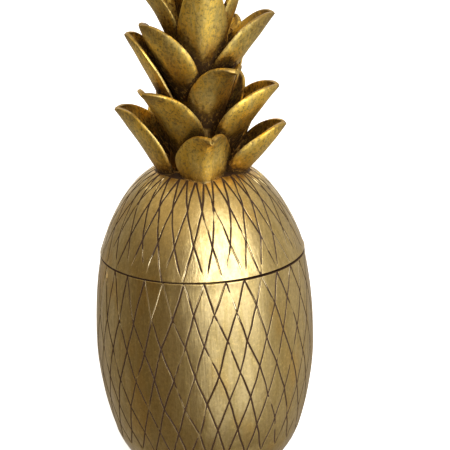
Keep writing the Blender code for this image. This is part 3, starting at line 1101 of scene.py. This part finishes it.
# %% Gold leaf
BODY_GOLD = (0.67, 0.50, 0.205)
BODY_OLIVE = (0.52, 0.375, 0.13)
AMBER = (0.80, 0.45, 0.08)
# painted shade and warm reflection where each leaf meets what carries it
ROOT_SHADE_AMBER = (0.46, 0.225, 0.018)
FLECK_GOLD = (0.96, 0.70, 0.24)
CROWN_GOLD = (1.0, 0.655, 0.095)
CROWN_OLIVE = (0.62, 0.455, 0.12)
BRIGHT_GOLD = (1.0, 0.80, 0.42)
STAIN = (0.34, 0.22, 0.07)
# scale, stretch along X, Y and Z, detail and roughness of each noise
MARKS = {
    "streaks": (260, (1, 1, 0.10), 5.0, 0.55),
    "hairs": (900, (1, 1, 0.06), 3.0, 0.55),
    "patches": (38, (1, 1, 0.6), 3.0, 0.55),
    "specks": (600, (1, 1, 0.8), 4.0, 0.75),
    "grain": (1500, (1, 1, 1), 2.0, 0.55),
}


def lay_gold_leaf_with_painted_light(gold, marks, crown, near_root):
    """The metal's tones before any wash, with painted warm reflection in the hollows, painted shade at
    the leaves' roots and painted highlights on the rims.
    """
    film = gold.plus(gold.times(marks["streaks"], 0.4), gold.times(marks["hairs"], 0.25))
    film = gold.spread(gold.plus(film, gold.times(marks["patches"], 0.35)), 0.42, 0.60)
    # amber where the body is hemmed in is a painted warm reflection; the random patches are the gold's
    # own warmer tone
    amber_patches_and_reflection = gold.plus(gold.spread(gold.value("hollow"), 0.10, 0.40, 0.0, 0.55),
                       gold.spread(marks["patches"], 0.56, 0.70, 0.0, 0.28))
    body = gold.mix(amber_patches_and_reflection, gold.mix(film, BODY_GOLD, BODY_OLIVE), AMBER)
    # painted shade at each leaf's root
    root_shade = gold.spread(near_root, 0.25, 0.88, 0.92, 0.0)
    leaves = gold.mix(root_shade, gold.mix(film, CROWN_GOLD, CROWN_OLIVE), ROOT_SHADE_AMBER)
    colour = gold.mix(crown, body, leaves)
    spotted = gold.plus(gold.times(crown, 0.50), 0.30)
    spots = gold.times(gold.spread(marks["specks"], 0.50, 0.62), spotted)
    flecks = gold.times(gold.spread(marks["specks"], 0.45, 0.35), 0.42)
    colour = gold.mix(flecks, gold.mix(spots, colour, STAIN), FLECK_GOLD)
    # the leaves' rims lighter: partly wear, partly painted highlight
    bright = gold.times(gold.spread(gold.value("rim"), 0.16, 0.36), gold.times(crown, 0.6))
    return gold.mix(bright, colour, BRIGHT_GOLD)


print("marks in the gold:", ", ".join(MARKS))

# %% [markdown]
# Then come rusty and dark brown, with ragged edges: in the crown's hollows, round every leaf's root,
# at the tips and in the grooves. In the hollows, round the roots and where parts meet, it is partly
# painted shade. A few grooves are filled with fresh gold instead.

# %% Brown wash and painted shade
BROWN_WASH_AND_SHADE = (0.05, 0.022, 0.006)
RUST_WASH_AND_SHADE = (0.19, 0.092, 0.014)


def brush_on_wash_and_shade(gold, marks, crown, near_root, colour):
    """The colour with rusty brown where the wash stays and where shade is painted, and how deep it
    lies between the leaves.
    """
    ragged = gold.plus(gold.times(gold.math('SUBTRACT', marks["patches"], 0.5), 0.45),
                       gold.times(gold.math('SUBTRACT', marks["specks"], 0.5), 0.60))
    # hollow: the share of rays that soon hit the casting, for brown wash and painted shade
    depth = gold.plus(gold.value("hollow"), ragged)
    # painted shade round each leaf's root makes the brown deeper there
    depth = gold.plus(depth, gold.spread(near_root, 0.22, 0.72, 0.30, 0.0))
    # corner: painted shade where parts meet and in tight spots, from the rays that hit at once
    corner = gold.spread(gold.plus(gold.value("seam"), ragged), 0.16, 0.34)
    # deep: brown wash and painted shade in the crown's hollows and where parts meet
    deep = gold.larger(gold.times(gold.spread(depth, 0.42, 0.66), crown), corner)
    # rusty brown in the crown's hollows, partly painted shade
    rust_and_shade = gold.times(gold.times(gold.spread(depth, 0.26, 0.52), crown), 0.75)
    tips = gold.spread(gold.plus(gold.value("along"), ragged), 0.78, 1.02, 0.0, 0.75)
    return gold.mix(tips, gold.mix(rust_and_shade, colour, RUST_WASH_AND_SHADE), STAIN), deep


def darken_grooves(gold, marks, crown, deep, colour):
    """The colour with its dark lines and glints, how dark a line is, and all the brown there is,
    painted shade included.
    """
    line = gold.spread(gold.value("groove"), 0.03, 0.20)
    filled = gold.times(line, gold.spread(gold.value("gilt"), 0.30, 0.40))
    dark = gold.math('SUBTRACT', line, filled, clamp=True)
    # the brown of the grooves' wash and of the painted shade in the hollows
    wash = gold.larger(dark, gold.times(deep, 0.9))
    colour = gold.mix(wash, gold.mix(filled, colour, BRIGHT_GOLD), BROWN_WASH_AND_SHADE)
    glints = gold.times(gold.spread(marks["specks"], 0.47, 0.36), gold.times(crown, 0.55))
    return gold.mix(gold.times(glints, deep), colour, AMBER), dark, wash


print("brown wash", BROWN_WASH_AND_SHADE, "over rust", RUST_WASH_AND_SHADE)

# %% [markdown]
# Last come the gloss and the small relief. Wash makes the metal rougher and less metallic.

# %% One finish for both castings
# noise, strength and depth in mm of each bump
RELIEF = (("streaks", 0.45, 0.14), ("hairs", 0.80, 0.11),
          ("specks", 0.20, 0.10), ("grain", 0.12, 0.05))


def antique_gold():
    """One finish for both castings: the crown's share is deeper in colour, washed darker and darkened
    by painted shade in its hollows.
    """
    gold = Nodes("antique_gold_leaf")
    crown = gold.value("crown")
    marks = {name: gold.noise(*numbers) for name, numbers in MARKS.items()}
    near_root = gold.plus(gold.value("along"), gold.times(marks["patches"], 0.5))
    colour = lay_gold_leaf_with_painted_light(gold, marks, crown, near_root)
    colour, deep = brush_on_wash_and_shade(gold, marks, crown, near_root, colour)
    colour, dark, wash = darken_grooves(gold, marks, crown, deep, colour)
    rough = gold.plus(gold.spread(marks["streaks"], 0.3, 0.7, 0.29, 0.43), gold.times(crown, 0.08))
    dull = gold.larger(gold.times(dark, 0.60), gold.times(deep, 0.22))
    dull = gold.larger(dull, gold.times(crown, 0.03))
    gold.link(colour, gold.shader.inputs["Base Color"])
    gold.link(gold.plus(rough, gold.times(wash, 0.25)), gold.shader.inputs["Roughness"])
    gold.link(gold.math('SUBTRACT', 1.0, dull), gold.shader.inputs["Metallic"])
    normal = None
    for mark, strength, depth in RELIEF:
        normal = gold.bump(marks[mark], strength, depth * MM, normal)
    gold.link(normal, gold.shader.inputs["Normal"])
    return gold.owner


finish = antique_gold()
for piece in (jar, lid):
    piece.data.materials.clear()
    piece.data.materials.append(finish)
print("finish:", len(finish.node_tree.nodes), "nodes")

# %% [markdown]
# ## Floor and light
# Polished gold shows the studio around it, so the studio is drawn as soft patches of light by
# direction. A tall panel at the front right gives the pale band down the body, and its brighter upper
# half the glare on the dome. Dim, warm surroundings at the front left keep that side olive brown, and
# white walls behind give the pale edges.

# %% Studio light
DIM_GROUND = (0.17, 0.132, 0.085)
WARM_CEILING = (0.74, 0.61, 0.39)
COOL_BACK = (0.20, 0.22, 0.27)
RIGHT_WALL = (0.26, 0.26, 0.25)
WHITE_BACKDROP = (0.9, 0.9, 0.9)
PANEL = (0.93, 1.0, 1.22)
GLARE = (3.0, 3.2, 3.9)


def soft_patch(studio, azimuth, elevation, sides, heights, softness):
    """How much of a patch of light is seen in a direction. All angles are in degrees."""
    soft = radians(softness)
    left, right = (radians(side) for side in sides)
    low, high = (radians(side) for side in heights)
    across = studio.times(studio.spread(azimuth, left, left + soft),
                          studio.spread(azimuth, right, right - soft))
    along = studio.times(studio.spread(elevation, low, low + soft),
                         studio.spread(elevation, high, high - soft))
    return studio.times(across, along)


def add_light(studio, so_far, share, tint):
    """Add a tinted share of light to what is there."""
    patch = studio.mix(share, (0.0, 0.0, 0.0), tint)
    total = studio.add("VectorMath")
    total.operation = 'ADD'
    studio.link(so_far, total.inputs[0])
    studio.link(patch, total.inputs[1])
    return total.outputs[0]


def light_studio():
    studio = Nodes("studio", bpy.data.worlds.new("studio"))
    bpy.context.scene.world = studio.owner
    x, y, z = studio.add("SeparateXYZ", Vector=studio.directions).outputs
    azimuth = studio.math('ARCTAN2', x, studio.times(y, -1.0))
    elevation = studio.math('ARCSINE', z)
    upwards = studio.spread(elevation, radians(15), radians(50))
    light = studio.mix(upwards, DIM_GROUND, WARM_CEILING)
    light = add_light(studio, light, studio.spread(y, -0.35, 0.6), COOL_BACK)
    light = add_light(studio, light, studio.spread(x, 0.55, 0.9), RIGHT_WALL)
    light = add_light(studio, light, studio.spread(y, 0.86, 0.95), WHITE_BACKDROP)
    panel = soft_patch(studio, azimuth, elevation, (-7, 68), (-50, 75), 13)
    light = add_light(studio, light, panel, PANEL)
    glare = soft_patch(studio, azimuth, elevation, (-9, 60), (-3, 46), 9)
    light = add_light(studio, light, glare, GLARE)
    background = studio.tree.nodes["Background"]
    studio.link(light, background.inputs["Color"])
    background.inputs["Strength"].default_value = 1.0


light_studio()
bpy.context.scene.view_settings.view_transform = 'Standard'
print("studio is lit")

# %% [markdown]
# The floor is nearly white, and glows a little, so it ends up as pale as the backdrop. The gold
# doesn't mirror it.

# %% Floor
FLOOR_SIZE = 30.0
FLOOR_PALE = (0.93, 0.93, 0.93)
FLOOR_GREYER = (0.90, 0.90, 0.90)


def add_floor():
    bpy.ops.mesh.primitive_plane_add(size=FLOOR_SIZE, location=(0, 0, 0))
    floor = bpy.context.object
    floor.name = "floor"
    floor.visible_glossy = False
    paint = Nodes("pale_floor")
    tone = paint.mix(paint.noise(3.0, (1, 1, 1), 2.0), FLOOR_PALE, FLOOR_GREYER)
    paint.link(tone, paint.shader.inputs["Base Color"])
    paint.link(tone, paint.shader.inputs["Emission Color"])
    paint.shader.inputs["Emission Strength"].default_value = 0.75
    paint.shader.inputs["Roughness"].default_value = 0.9
    floor.data.materials.append(paint.owner)


add_floor()
print("floor is laid")

# %% [markdown]
# ## Hand over
# The new pieces stand for the plain solids, and both rest together, because the lid only lies on the
# jar.

# %% Tie the pieces to the solids
for piece, node, slot in ((jar, "jar", "barrel_gold"), (lid, "lid", "crown_gold")):
    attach(piece, "root")
    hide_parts(node)
